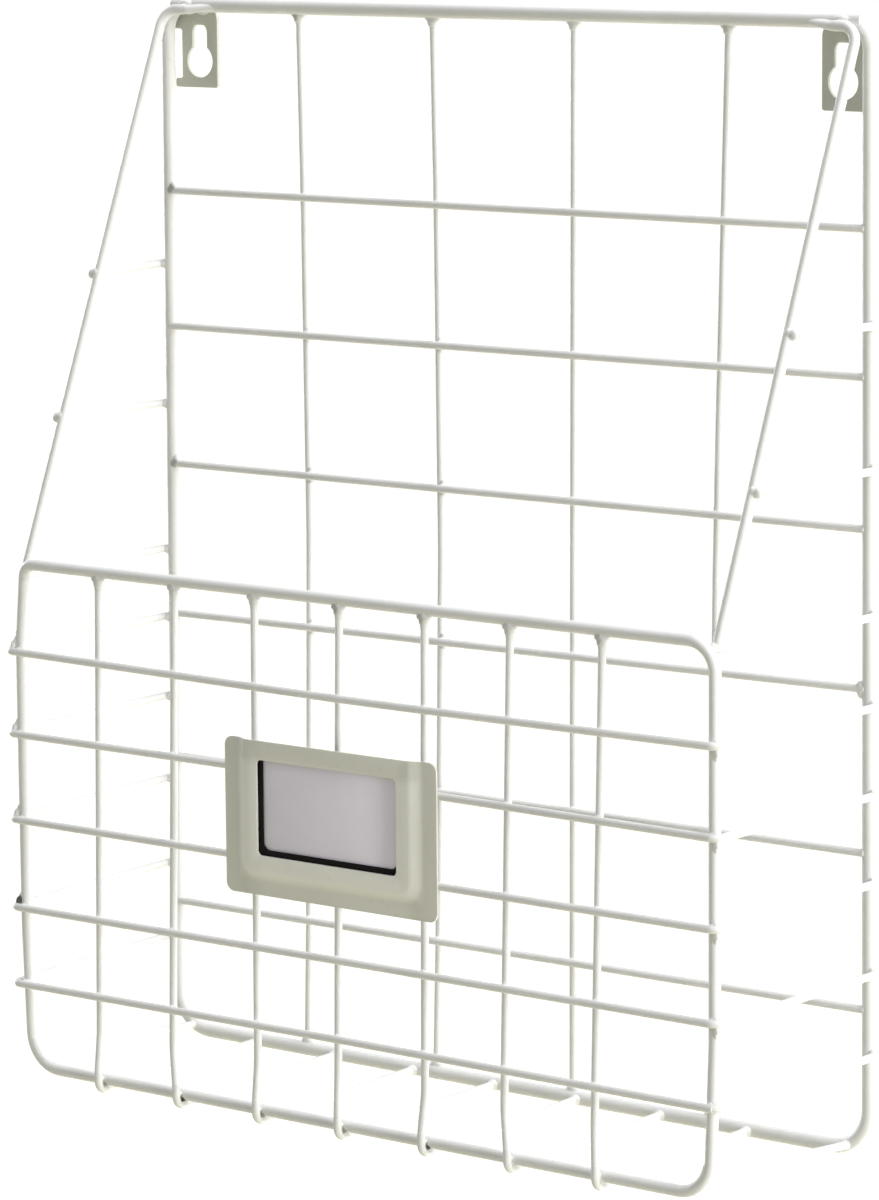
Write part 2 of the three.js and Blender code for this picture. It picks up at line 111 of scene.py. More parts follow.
# Side wires above the basket: the height of each at its rear and at its front
SIDE_WIRES = {
    "left": [(313.1, 312.7), (256.7, 258.2), (197.6, 199.2)],
    "right": [(307.3, 308.0), (254.9, 254.2), (201.6, 199.2)],
}
LOWEST_SIDE_WIRE = 2
SIDE_OVERRUN = 0.6

# Where thin wires end against the frames' bends, in degrees round each bend
LOWEST_SIDE_TURNS = {"left": 6.0, "right": 30.0}
FOOT_FRONT_TURN = -36.0
FOOT_REAR_TURN = -62.0
SIDES = (("left", -1), ("right", 1))

# Steps between the axes of wires that touch, and the planes that the wires lie in
FRONT_OFFSET = FRONT_R + GRID_R + GAP
BACK_OFFSET = BACK_R + GRID_R + GAP
WRAP_Y = FRONT_Y - FRONT_OFFSET
BASKET_Y = WRAP_Y + 2 * GRID_R + GAP
BUTT = BACK_R + GAP
LAYER = GRID_R + GAP / 2
BASKET_FLOOR_Z = FRONT_FOOT - FRONT_OFFSET
BEHIND_FRONT = FRONT_Y + FRONT_R + GAP
RAIL_WELD_INSET = 12.0
RAIL_WELD_X = BACK_HALF - RAIL_WELD_INSET

# The label, which hangs on the second and third wraparound wires
LABEL_CENTRE = (BASKET_MIDDLE, WRAP_Y, (WRAP_HEIGHTS[1] + WRAP_HEIGHTS[2]) / 2)
LABEL_HALF_WIDTH = 50.0
LABEL_HALF_HEIGHT = 29.75
LABEL_SPOT = 44.0

# How fine the wires and the welds are, and the turn in degrees that counts as a sharp edge
WIRE_SIDES = 24
FRAME_SIDES = 32
BEND_STEP = math.radians(9)
MERGE_REACH = 0.01 * MM
END_ROLL = 0.45
WELD_GRAIN = 0.25
SHARP_EDGE = 35.0


def at(x, y, z):
    """A place given in millimetres from the back frame's bottom rail."""
    return Vector((x, y - WALL_Y, z - SCREW_Z)) * MM


def moved(place, step):
    """A place moved by a step."""
    return tuple(a + b for a, b in zip(place, step))


def mirrored(place, side):
    """A place on the right as it stands, or its mirror image on the left."""
    return (side * place[0], place[1], place[2])


def along(near, far, y):
    """The place at a depth on the line through two places."""
    share = (y - near[1]) / (far[1] - near[1])
    return tuple(a + (b - a) * share for a, b in zip(near, far))


def back_half(z):
    """Half the back frame's width at a height."""
    return BACK_HALF + BACK_SPLAY * (1 - z / BACK_HEIGHT)


# Modelling by hand


def clear_selection():
    for thing in bpy.context.selected_objects:
        thing.select_set(False)


def begin_edit(select):
    bpy.ops.object.mode_set(mode="EDIT")
    bpy.ops.mesh.select_mode(type=select)


def end_edit():
    bpy.ops.object.mode_set(mode="OBJECT")


def take(thing):
    """Makes one object the selected and active one."""
    clear_selection()
    thing.select_set(True)
    bpy.context.view_layer.objects.active = thing


def settle(thing, name, angle=40.0):
    """Names a piece, puts its place into its mesh and smooths it over its soft edges."""
    take(thing)
    bpy.ops.object.transform_apply(location=True, rotation=True, scale=True)
    bpy.ops.object.shade_smooth_by_angle(angle=math.radians(angle))
    thing.name = name
    thing.data.name = name
    return thing


def apply_modifier(kind, **settings):
    """Adds a modifier to the active object and applies it."""
    thing = bpy.context.object
    modifier = thing.modifiers.new(kind.title(), kind)
    for key, value in settings.items():
        setattr(modifier, key, value)
    bpy.ops.object.modifier_apply(modifier=modifier.name)


def section(place, direction, radius, sides, fill):
    """A round section standing across a wire's start."""
    clear_selection()
    turn = direction.to_track_quat("Z", "Y").to_euler()
    bpy.ops.mesh.primitive_circle_add(
        vertices=sides, radius=radius, fill_type=fill, location=place, rotation=turn
    )
    bpy.ops.object.transform_apply(location=True, rotation=True, scale=True)
    return bpy.context.object


def run(step):
    """Draws the selected section on by a step."""
    bpy.ops.mesh.extrude_region_move(TRANSFORM_OT_translate={"value": step})


def bend_wire(here, corner, after, radius):
    """Runs the section up to a bend at a corner and spins it round, and gives where it ends."""
    into = (corner - here).normalized()
    out = (after - corner).normalized()
    turn = into.angle(out)
    if turn < 0.0001:
        return here
    tangent = radius * math.tan(turn / 2)
    run(corner - into * tangent - here)
    centre = corner + (out - into).normalized() * (radius / math.cos(turn / 2))
    steps = max(2, math.ceil(turn / BEND_STEP))
    bpy.ops.mesh.spin(steps=steps, angle=-turn, center=centre, axis=into.cross(out).normalized())
    return corner + out * tangent


def round_ends(radius):
    """Rolls over the two cut ends, as the coat does."""
    end_edit()
    mesh = bpy.context.object.data
    for polygon in mesh.polygons:
        polygon.select = len(polygon.vertices) == WIRE_SIDES
    begin_edit("FACE")
    bpy.ops.mesh.bevel(offset=radius * END_ROLL, segments=4, affect="EDGES")


def open_wire(name, radius, corners, radii=()):
    """A wire drawn through its corners, bent at those between its two ends."""
    places = [at(*corner) for corner in corners]
    section(places[0], places[1] - places[0], radius * MM, WIRE_SIDES, "NGON")
    begin_edit("FACE")
    bpy.ops.mesh.select_all(action="SELECT")
    here = places[0]
    for i, bend in enumerate(radii, start=1):
        here = bend_wire(here, places[i], places[i + 1], bend * MM)
    run(places[-1] - here)
    round_ends(radius * MM)
    bpy.ops.mesh.select_all(action="SELECT")
    bpy.ops.mesh.normals_make_consistent(inside=False)
    end_edit()
    return settle(bpy.context.object, name)


def closed_wire(name, radius, corners, radii):
    """A wire bent into a closed frame, from the middle of its bottom rail."""
    places = [at(*corner) for corner in corners]
    start = (places[0] + places[1]) / 2
    section(start, places[1] - places[0], radius * MM, FRAME_SIDES, "NOTHING")
    begin_edit("EDGE")
    bpy.ops.mesh.select_all(action="SELECT")
    here = start
    count = len(places)
    for i in range(1, count + 1):
        here = bend_wire(here, places[i % count], places[(i + 1) % count], radii[i % count] * MM)
    run(start - here)
    bpy.ops.mesh.select_all(action="SELECT")
    bpy.ops.mesh.remove_doubles(threshold=MERGE_REACH)
    bpy.ops.mesh.normals_make_consistent(inside=False)
    end_edit()
    return settle(bpy.context.object, name)


# Finishes: noise mostly stays between its low and its high value

NOISE_LOW = 0.3
NOISE_HIGH = 0.7
MIX_UNDER = 6
MIX_OVER = 7
MIX_RESULT = 2
FINE_GRAIN = 0.03 * MM
CARD_TOOTH = 0.02 * MM
SATIN = (0.36, 0.52)
GLOSSY = (0.3, 0.42)
POWDER_PEEL = 1500.0
ENAMEL_PEEL = 900.0


def new_material(name):
    material = bpy.data.materials.new(name)
    material.use_nodes = True
    tree = material.node_tree
    return material, tree, tree.nodes["Principled BSDF"]


def node(tree, kind, x, y, **settings):
    """A new shader node, laid out at a place in the editor."""
    made = tree.nodes.new(kind)
    made.location = (x, y)
    for key, value in settings.items():
        setattr(made, key, value)
    return made


def noise(tree, coordinates, x, y, scale, detail=3.0, roughness=0.5):
    """A cloudy pattern that is fixed to the piece."""
    made = node(tree, "ShaderNodeTexNoise", x, y)
    made.inputs["Scale"].default_value = scale
    made.inputs["Detail"].default_value = detail
    made.inputs["Roughness"].default_value = roughness
    tree.links.new(coordinates.outputs["Object"], made.inputs["Vector"])
    return made


def tint(tree, source, x, y, stops):
    """Turns a pattern into colours, from stops of place and colour."""
    ramp = node(tree, "ShaderNodeValToRGB", x, y)
    ramp.color_ramp.elements[0].position = stops[0][0]
    ramp.color_ramp.elements[0].color = (*stops[0][1], 1)
    ramp.color_ramp.elements[1].position = stops[-1][0]
    ramp.color_ramp.elements[1].color = (*stops[-1][1], 1)
    for place, colour in stops[1:-1]:
        ramp.color_ramp.elements.new(place).color = (*colour, 1)
    tree.links.new(source, ramp.inputs["Fac"])
    return ramp


def spread(tree, source, x, y, low, high):
    """Turns a pattern into a number between two values."""
    made = node(tree, "ShaderNodeMapRange", x, y)
    made.inputs["From Min"].default_value = NOISE_LOW
    made.inputs["From Max"].default_value = NOISE_HIGH
    made.inputs["To Min"].default_value = low
    made.inputs["To Max"].default_value = high
    tree.links.new(source, made.inputs["Value"])
    return made


def bumps(tree, source, x, y, depth, under=None):
    """Turns a pattern into bumps, over those of another where one is named."""
    made = node(tree, "ShaderNodeBump", x, y)
    made.inputs["Distance"].default_value = depth
    tree.links.new(source, made.inputs["Height"])
    if under:
        tree.links.new(under.outputs["Normal"], made.inputs["Normal"])
    return made


def multiplied(tree, x, y, share, under, over):
    """A colour multiplied by a share of another."""
    made = node(tree, "ShaderNodeMix", x, y, data_type="RGBA", blend_type="MULTIPLY")
    made.inputs["Factor"].default_value = share
    tree.links.new(under, made.inputs[MIX_UNDER])
    tree.links.new(over, made.inputs[MIX_OVER])
    return made.outputs[MIX_RESULT]


def drifting(tree, pattern, x, y, colours):
    """Turns noise into tones between two colours."""
    return tint(tree, pattern.outputs["Fac"], x, y, list(zip((NOISE_LOW, NOISE_HIGH), colours)))


def ray_kinds(tree, x, y, *kinds):
    """Tells whether a ray is of one of some kinds."""
    path = node(tree, "ShaderNodeLightPath", x, y)
    found = path.outputs[kinds[0]]
    for i, kind in enumerate(kinds[1:], start=1):
        either = node(tree, "ShaderNodeMath", x + 220 * i, y, operation="MAXIMUM")
        tree.links.new(found, either.inputs[0])
        tree.links.new(path.outputs[kind], either.inputs[1])
        found = either.outputs[0]
    return found


def white_coat(name, colours, rough, peel_scale, coat=0.0):
    """A sprayed and baked white coat: faint drifts of tone, orange peel and a few specks.

    A point attribute on some pieces turns the coat near black there: painted shade in the
    crevices at the welds.
    """
    material, tree, shader = new_material(name)
    coordinates = node(tree, "ShaderNodeTexCoord", -1100, 0)
    drift = noise(tree, coordinates, -900, 300, 24.0, 4.0)
    tones = drifting(tree, drift, -650, 300, colours)
    speck = noise(tree, coordinates, -900, 60, 900.0, 1.0)
    speck_ramp = tint(
        tree, speck.outputs["Fac"], -650, 60,
        [(0.24, (0.86, 0.85, 0.8)), (0.34, (1.0, 1.0, 1.0))],
    )
    sprayed = multiplied(
        tree, -350, 250, 0.5, tones.outputs["Color"], speck_ramp.outputs["Color"]
    )
    # Painted shade: a point attribute turns the coat near black in the crevices at the welds
    crevice_shade = node(tree, "ShaderNodeAttribute", -350, 500, attribute_name="crevice_shade")
    crevice_shaded = node(tree, "ShaderNodeMix", -150, 350, data_type="RGBA")
    crevice_shaded.inputs[MIX_OVER].default_value = (0.03, 0.029, 0.027, 1)
    tree.links.new(crevice_shade.outputs["Fac"], crevice_shaded.inputs["Factor"])
    tree.links.new(sprayed, crevice_shaded.inputs[MIX_UNDER])
    tree.links.new(crevice_shaded.outputs[MIX_RESULT], shader.inputs["Base Color"])
    haze = noise(tree, coordinates, -900, -180, 130.0, 3.0)
    roughness = spread(tree, haze.outputs["Fac"], -650, -180, *rough)
    tree.links.new(roughness.outputs["Result"], shader.inputs["Roughness"])
    wave = noise(tree, coordinates, -900, -420, 160.0, 1.0)
    peel = noise(tree, coordinates, -900, -640, peel_scale, 2.0, 0.6)
    wave_bump = bumps(tree, wave.outputs["Fac"], -400, -420, FINE_GRAIN * 4)
    peel_bump = bumps(tree, peel.outputs["Fac"], -200, -560, FINE_GRAIN, under=wave_bump)
    tree.links.new(peel_bump.outputs["Normal"], shader.inputs["Normal"])
    shader.inputs["Specular IOR Level"].default_value = 0.3
    shader.inputs["Coat Weight"].default_value = coat
    shader.inputs["Coat Roughness"].default_value = 0.12
    return material


powder_coat = white_coat(
    "powder_coat", [(0.68, 0.677, 0.668), (0.74, 0.737, 0.728)], SATIN, POWDER_PEEL
)
label_enamel = white_coat(
    "label_enamel", [(0.80, 0.795, 0.74), (0.85, 0.845, 0.79)], GLOSSY, ENAMEL_PEEL, coat=0.1
)
# Painted shade: the tabs' copy of the powder coat, darker and more olive than the wires' coat
shaded_tab_coat = white_coat(
    "shaded_tab_coat", [(0.51, 0.52, 0.46), (0.555, 0.565, 0.51)], SATIN, POWDER_PEEL
)


def paint_rim_shade(material):
    """Paints shade on the label's enamel, darker over the pressed slopes and the flat rim
    towards its edges, and in bands at its left and right sides.

    Places on the label run from -1 at its left or bottom edge to 1 at its right or top edge.
    """
    tree = material.node_tree
    shader = tree.nodes["Principled BSDF"]
    source = shader.inputs["Base Color"].links[0].from_socket
    coordinates = node(tree, "ShaderNodeTexCoord", -1700, 900)
    centred = node(tree, "ShaderNodeMapping", -1500, 900, vector_type="TEXTURE")
    centred.inputs["Location"].default_value = at(*LABEL_CENTRE)
    centred.inputs["Scale"].default_value = (LABEL_HALF_WIDTH * MM, 1, LABEL_HALF_HEIGHT * MM)
    tree.links.new(coordinates.outputs["Object"], centred.inputs["Vector"])
    parts = node(tree, "ShaderNodeSeparateXYZ", -1300, 900)
    tree.links.new(centred.outputs["Vector"], parts.inputs[0])
    rims = []
    for i, (axis, slope, flat) in enumerate((("X", 0.8, 0.88), ("Z", 0.66, 0.8))):
        outward = node(tree, "ShaderNodeMath", -1100, 1000 - 200 * i, operation="ABSOLUTE")
        tree.links.new(parts.outputs[axis], outward.inputs[0])
        rim = node(tree, "ShaderNodeMapRange", -900, 1000 - 200 * i)
        rim.inputs["From Min"].default_value = slope
        rim.inputs["From Max"].default_value = flat
        tree.links.new(outward.outputs[0], rim.inputs["Value"])
        rims.append(rim)
    either = node(tree, "ShaderNodeMath", -700, 900, operation="MAXIMUM")
    tree.links.new(rims[0].outputs["Result"], either.inputs[0])
    tree.links.new(rims[1].outputs["Result"], either.inputs[1])
    # Painted shade, darker over the slopes and the flat rim towards the label's edges
    rim_shade = tint(
        tree, either.outputs[0], -500, 900,
        [(0.0, (1.0, 1.0, 1.0)), (0.4, (0.96, 0.96, 0.95)), (1.0, (0.85, 0.85, 0.83))],
    )
    across = node(tree, "ShaderNodeMapRange", -900, 500)
    across.inputs["From Min"].default_value = -1
    tree.links.new(parts.outputs["X"], across.inputs["Value"])
    # Painted shade in bands over the left and the right slope and the side edges
    slope_shade = tint(
        tree, across.outputs["Result"], -500, 500,
        [
            (0.04, (0.92, 0.92, 0.9)), (0.09, (0.87, 0.87, 0.85)), (0.2, (1.0, 1.0, 1.0)),
            (0.84, (1.0, 1.0, 1.0)), (0.9, (0.88, 0.88, 0.87)), (0.95, (0.9, 0.9, 0.89)),
        ],
    )
    for i, tone in enumerate((rim_shade, slope_shade)):
        source = multiplied(tree, 100 + 200 * i, 700, 1.0, source, tone.outputs["Color"])
    tree.links.new(source, shader.inputs["Base Color"])


# Painted shade on the bezel's pressed slopes and rim
paint_rim_shade(label_enamel)


def black_plastic_and_gap_shade():
    """Matt black plastic with a fine grain. Its near-black tone and almost absent reflection are
    partly painted shade for the deep gap round the card.
    """
    material, tree, shader = new_material("carrier_black")
    # Painted shade: reflection kept near nothing, so the gap round the card reads as deep shadow
    shader.inputs["Specular IOR Level"].default_value = 0.03
    coordinates = node(tree, "ShaderNodeTexCoord", -1100, 0)
    grain = noise(tree, coordinates, -900, 100, 1800.0, 2.0)
    drift = noise(tree, coordinates, -900, 340, 60.0, 3.0)
    # Black plastic, darkened further as painted shade in the gap round the card
    tones = drifting(tree, drift, -650, 340, [(0.006, 0.006, 0.006), (0.016, 0.015, 0.014)])
    tree.links.new(tones.outputs["Color"], shader.inputs["Base Color"])
    roughness = spread(tree, grain.outputs["Fac"], -650, 100, 0.42, 0.6)
    tree.links.new(roughness.outputs["Result"], shader.inputs["Roughness"])
    bump = bumps(tree, grain.outputs["Fac"], -400, -100, FINE_GRAIN)
    tree.links.new(bump.outputs["Normal"], shader.inputs["Normal"])
    return material


def card_stock():
    """Pale card with drifting pulp and a fine tooth."""
    material, tree, shader = new_material("card")
    coordinates = node(tree, "ShaderNodeTexCoord", -1100, 0)
    cloud = noise(tree, coordinates, -900, 340, 55.0, 5.0, 0.6)
    tones = drifting(tree, cloud, -650, 340, [(0.81, 0.76, 0.86), (0.85, 0.805, 0.905)])
    tree.links.new(tones.outputs["Color"], shader.inputs["Base Color"])
    tooth = noise(tree, coordinates, -900, 60, 3500.0, 4.0, 0.7)
    roughness = spread(tree, tooth.outputs["Fac"], -650, 60, 0.7, 0.85)
    tree.links.new(roughness.outputs["Result"], shader.inputs["Roughness"])
    bump = bumps(tree, tooth.outputs["Fac"], -400, -100, CARD_TOOTH)
    tree.links.new(bump.outputs["Normal"], shader.inputs["Normal"])
    return material


carrier_black = black_plastic_and_gap_shade()
card_paper = card_stock()


def fit_piece(piece, material, slot, body, *replaced):
    """Gives a piece its finish and hangs it on its body, in place of the nodes it stands for."""
    piece.data.materials.clear()
    piece.data.materials.append(material)
    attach(piece, body)
    if replaced:
        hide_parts(*replaced)
    return piece


def coated(piece, *replaced):
    """Gives a piece of the rack the powder coat."""
    return fit_piece(piece, powder_coat, "powder_coat", "rack", *replaced)


# Frames

coated(
    closed_wire(
        "back_frame_wire",
        BACK_R,
        [
            (-back_half(0), 0, 0),
            (back_half(0), 0, 0),
            (BACK_HALF, 0, BACK_HEIGHT),
            (-BACK_HALF, 0, BACK_HEIGHT),
        ],
        (BACK_FOOT_RADIUS, BACK_FOOT_RADIUS, BACK_TOP_RADIUS, BACK_TOP_RADIUS),
    ),
    "back_frame",
)
coated(
    closed_wire(
        "front_frame_wire",
        FRONT_R,
        [
            (FRONT_TUCK - FRONT_HALF, FRONT_Y, FRONT_FOOT),
            (FRONT_HALF - FRONT_TUCK, FRONT_Y, FRONT_FOOT),
            (FRONT_HALF, FRONT_Y, FRONT_TUCK_TOP),
            (FRONT_HALF, FRONT_Y, FRONT_TOP),
            (FRONT_LEAN - FRONT_HALF, FRONT_Y, FRONT_TOP),
            (-FRONT_HALF, FRONT_Y, FRONT_LEAN_FOOT),
            (-FRONT_HALF, FRONT_Y, FRONT_TUCK_TOP),
        ],
        (
            FRONT_FOOT_RADIUS,
            FRONT_FOOT_RADIUS,
            POST_BEND_RADIUS,
            FRONT_TOP_RADIUS,
            FRONT_TOP_LEFT_RADIUS,
            POST_BEND_RADIUS,
            POST_BEND_RADIUS,
        ),
    ),
    "front_frame",
)

# Back grid


def upright_x(i):
    """The even place of an upright across the back."""
    return -BACK_HALF + (i + 1) * UPRIGHT_PITCH


for i, (head, middle, foot) in enumerate(UPRIGHT_SPRINGS):
    x = upright_x(i)
    corners = [
        (x + head, LAYER, BACK_HEIGHT - BUTT),
        (x + middle, LAYER, BACK_HEIGHT / 2),
        (x + foot, LAYER, BUTT),
    ]
    wire = open_wire(f"upright_{i + 1}", GRID_R, corners, [SPRING_RADIUS])
    coated(wire, f"back_upright_{i + 1}")


def cross_seat(i, side):
    """Where a cross wire's height meets a back post's axis."""
    z = CROSS_HEIGHTS[i] + CROSS_RISES[i][side > 0]
    return (side * back_half(z), 0, z)


def cross_end(i, side):
    """One end of a cross wire's axis."""
    return moved(cross_seat(i, side), (-side * BUTT, -LAYER, 0))


for i in range(len(CROSS_HEIGHTS)):
    wire = open_wire(f"cross_{i + 1}", GRID_R, [cross_end(i, -1), cross_end(i, 1)])
    coated(wire, f"back_cross_{i + 1}")

# Basket wires

for i, x in enumerate(BASKET_WIRE_X):
    corners = [
        (x + BASKET_WIRE_HEADS[i], BASKET_Y, FRONT_TOP - FRONT_R - GAP),
        (x - BASKET_WIRE_LEANS[i], BASKET_Y, FRONT_FOOT + FORWARD_RISE),
        (x, WRAP_Y, FRONT_FOOT + FORWARD_DROP),
        (x, WRAP_Y, BASKET_FLOOR_Z),
        (x, -BUTT, BASKET_FLOOR_Z),
    ]
    radii = [FORWARD_RADIUS, FORWARD_RADIUS, FRONT_OFFSET]
    coated(open_wire(f"basket_{i + 1}", GRID_R, corners, radii), f"basket_wire_{i + 1}")

# Wraparound wires


def wrap_end(i, side):
    """The rear end and the front corner of one side of a wraparound wire."""
    z = WRAP_HEIGHTS[i] + WRAP_RISES[i][side > 0]
    beside_back = (side * (back_half(z) + BACK_OFFSET), 0, z)
    beside_front = (side * (FRONT_HALF + FRONT_OFFSET), FRONT_Y, z)
    return [along(beside_back, beside_front, y) for y in (BACK_R, WRAP_Y)]


for i, z in enumerate(WRAP_HEIGHTS):
    left_end, left_corner = wrap_end(i, -1)
    right_end, right_corner = wrap_end(i, 1)
    middle = (0, WRAP_Y, z + sum(WRAP_RISES[i]) / 2 - WRAP_SAGS[i])
    corners = [left_end, left_corner, middle, right_corner, right_end]
    radii = [FRONT_OFFSET, SAG_RADIUS, FRONT_OFFSET]
    coated(open_wire(f"wrap_{i + 1}", GRID_R, corners, radii), f"wrap_wire_{i + 1}")

# Stays

hook_offset = BACK_R + STAY_R + GAP
stay_top = (
    BACK_HALF - STAY_INSET,
    -math.sqrt(hook_offset**2 - HOOK_DROP**2),
    BACK_HEIGHT - HOOK_DROP,
)
foot_offset = (FRONT_R + STAY_R + GAP) * math.sqrt(0.5)
foot_reach = (FRONT_TOP_RADIUS + foot_offset) * math.sqrt(0.5)
stay_foot = (
    FRONT_HALF - FRONT_TOP_RADIUS + foot_reach,
    FRONT_Y + foot_offset,
    FRONT_TOP - FRONT_TOP_RADIUS + foot_reach,
)

for name, side in SIDES:
    hook_end = moved(stay_top, (-HOOK_LENGTH, 0, 0))
    corners = [mirrored(place, side) for place in (hook_end, stay_top, stay_foot)]
    coated(open_wire(f"stay_{name}_wire", STAY_R, corners, [HOOK_RADIUS]), f"stay_{name}")

# Side wires above the basket, and foot wires


def on_stay(z):
    """The place on the right stay's axis at a height."""
    share = (stay_top[2] - z) / (stay_top[2] - stay_foot[2])
    return tuple(a + (b - a) * share for a, b in zip(stay_top, stay_foot))


# Frame bends: half the frame's width there, the height of the bend's centre, and its radius
FRONT_TOP_BENDS = {
    "left": (FRONT_HALF - FRONT_LEAN, FRONT_TOP - FRONT_TOP_LEFT_RADIUS, FRONT_TOP_LEFT_RADIUS),
    "right": (FRONT_HALF, FRONT_TOP - FRONT_TOP_RADIUS, FRONT_TOP_RADIUS),
}
FRONT_FOOT_BEND = (FRONT_HALF - FRONT_TUCK, FRONT_FOOT + FRONT_FOOT_RADIUS, FRONT_FOOT_RADIUS)
BACK_FOOT_BEND = (back_half(0), BACK_FOOT_RADIUS, BACK_FOOT_RADIUS)


def on_bend(bend, y, degrees):
    """A place on the axis of a frame's bend, by its turn out of the level."""
    half, centre_z, radius = bend
    turn = math.radians(degrees)
    return (half - radius + radius * math.cos(turn), y, centre_z + radius * math.sin(turn))


for name, side in SIDES:
    for i, (rear_z, front_z) in enumerate(SIDE_WIRES[name]):
        beside_post = (side * (back_half(rear_z) + BACK_OFFSET), 0, rear_z)
        if i == LOWEST_SIDE_WIRE:
            seat = on_bend(FRONT_TOP_BENDS[name], BEHIND_FRONT, LOWEST_SIDE_TURNS[name])
            front = mirrored(seat, side)
            rear = along(beside_post, front, BACK_R)
        else:
            x, y, _ = on_stay(front_z)
            seat = (side * (x + STAY_R + GRID_R + GAP), y, front_z)
            front = along(beside_post, seat, y - SIDE_OVERRUN)
            rear = along(beside_post, seat, BACK_R)
        wire = open_wire(f"side_{name}_{i + 1}", GRID_R, [rear, front])
        coated(wire, f"side_wire_{name}_{i + 1}")

rear_foot = on_bend(BACK_FOOT_BEND, -BUTT, FOOT_REAR_TURN)
front_foot = on_bend(FRONT_FOOT_BEND, BEHIND_FRONT, FOOT_FRONT_TURN)
for name, side in SIDES:
    ends = [mirrored(place, side) for place in (rear_foot, front_foot)]
    coated(open_wire(f"foot_{name}", GRID_R, ends), f"foot_wire_{name}")

# Welds: each kind is grown once between stubs of the wires that it joins, then copied

STUB_SIDES = 16
STUB_SHARE = 0.985
SHADE_EDGE = 3


def stub(start, end, radius):
    """A short length of wire inside the real one, for a weld to grow on."""
    start, end = Vector(start) * MM, Vector(end) * MM
    turn = (end - start).to_track_quat("Z", "Y").to_euler()
    bpy.ops.mesh.primitive_cylinder_add(
        vertices=STUB_SIDES,
        radius=radius * STUB_SHARE * MM,
        depth=(end - start).length,
        location=(start + end) / 2,
        rotation=turn,
    )
    return bpy.context.object


def bend_stubs(bend, wire_radius, degrees, side):
    """Stubs that follow a frame's bend, seen from the place at a turn of it."""
    home = on_bend(bend, 0, degrees)
    marks = []
    for step in (-24, -12, 0, 12, 24):
        place = on_bend(bend, 0, degrees + step)
        marks.append(mirrored([a - b for a, b in zip(place, home)], side))
    return [stub(start, end, wire_radius) for start, end in zip(marks, marks[1:])]


def bead(place, size):
    """A bead of weld metal, as wide, deep and tall as its size says."""
    bpy.ops.mesh.primitive_ico_sphere_add(
        subdivisions=2, radius=1, location=Vector(place) * MM, scale=Vector(size) * MM
    )
    return bpy.context.object


def slab(low, high):
    """A short piece of sheet inside the real one, for a weld to grow on."""
    low, high = Vector(low) * MM, Vector(high) * MM
    bpy.ops.mesh.primitive_cube_add(size=1, location=(low + high) / 2, scale=high - low)
    return bpy.context.object


def join(things):
    """Joins some objects into the first of them."""
    clear_selection()
    for thing in things:
        thing.select_set(True)
    bpy.context.view_layer.objects.active = things[0]
    bpy.ops.object.join()
    return bpy.context.object


def weld(name, parts, places, melt=12, keep=0.22):
    """Melts stubs and beads together into one fillet, and puts a copy at each place.

    The parts are in millimetres from the weld's own place. The melting takes so many rounds of
    smoothing, and such a share of the faces is kept.
    """
    grown = join(parts)
    bpy.ops.object.transform_apply(location=True, rotation=True, scale=True)
    apply_modifier("REMESH", mode="VOXEL", voxel_size=WELD_GRAIN * MM)
    apply_modifier("SMOOTH", factor=0.5, iterations=melt)
    apply_modifier("DECIMATE", ratio=keep)
    first, *others = [at(*place) for place in places]
    grown.location = first
    copies = [grown]
    for place in others:
        take(grown)
        bpy.ops.object.duplicate()
        bpy.context.object.location = place
        copies.append(bpy.context.object)
    return coated(settle(join(copies), name, 80.0))


def paint_crevice_shade(piece, shade_spots):
    """Paints shade into crevices on a piece, each spot by its place, its size and how dark it
    is.
    """
    shares = piece.data.attributes.new("crevice_shade", "FLOAT", "POINT").data
    for vertex in piece.data.vertices:
        for place, size, share in shade_spots:
            nearness = 1 - (vertex.co - at(*place)).length / (size * MM)
            if nearness > 0:
                shares[vertex.index].value = share * min(1, SHADE_EDGE * nearness)


# Where the sprung and sagging wires run


def upright_at(i, z):
    """Where an upright stands, across, at a height."""
    head, middle, foot = UPRIGHT_SPRINGS[i]
    half = BACK_HEIGHT / 2
    near, far, start = (foot, middle, 0) if z < half else (middle, head, half)
    return upright_x(i) + near + (far - near) * (z - start) / half


def upright_head(i):
    """Where an upright's line meets the top rail's axis."""
    return (upright_x(i) + UPRIGHT_SPRINGS[i][0], 0, BACK_HEIGHT)


def basket_at(i, z):
    """Where a basket wire stands, across, at a height above its forward bend."""
    drop = (FRONT_TOP - z) / (FRONT_TOP - FRONT_FOOT - FORWARD_RISE)
    head = BASKET_WIRE_HEADS[i]
    return BASKET_WIRE_X[i] + head - (head + BASKET_WIRE_LEANS[i]) * drop


def wrap_at(i, x):
    """How high a wraparound wire runs at a place across the front."""
    rises = WRAP_RISES[i]
    outward = abs(x) / (FRONT_HALF + FRONT_OFFSET)
    middle = WRAP_HEIGHTS[i] + sum(rises) / 2 - WRAP_SAGS[i]
    return middle + (WRAP_HEIGHTS[i] + rises[x > 0] - middle) * outward


def cross_at(i, x):
    """How high a cross wire runs at a place across the back."""
    left, right = CROSS_RISES[i]
    return CROSS_HEIGHTS[i] + left + (right - left) * (x + BACK_HALF) / (2 * BACK_HALF)


def front_half(z):
    """Half the front frame's width at a height below its lean."""
    share = max(0, FRONT_TUCK_TOP - z) / (FRONT_TUCK_TOP - FRONT_FOOT)
    return FRONT_HALF - FRONT_TUCK * share


# Welds of the back grid


def crossing():
    """The parts of a weld between two crossing wires."""
    return [
        stub((-3, -LAYER, 0), (3, -LAYER, 0), GRID_R),
        stub((0, LAYER, -3), (0, LAYER, 3), GRID_R),
        bead((0, 0, 0), (1.5, 1.0, 1.5)),
    ]


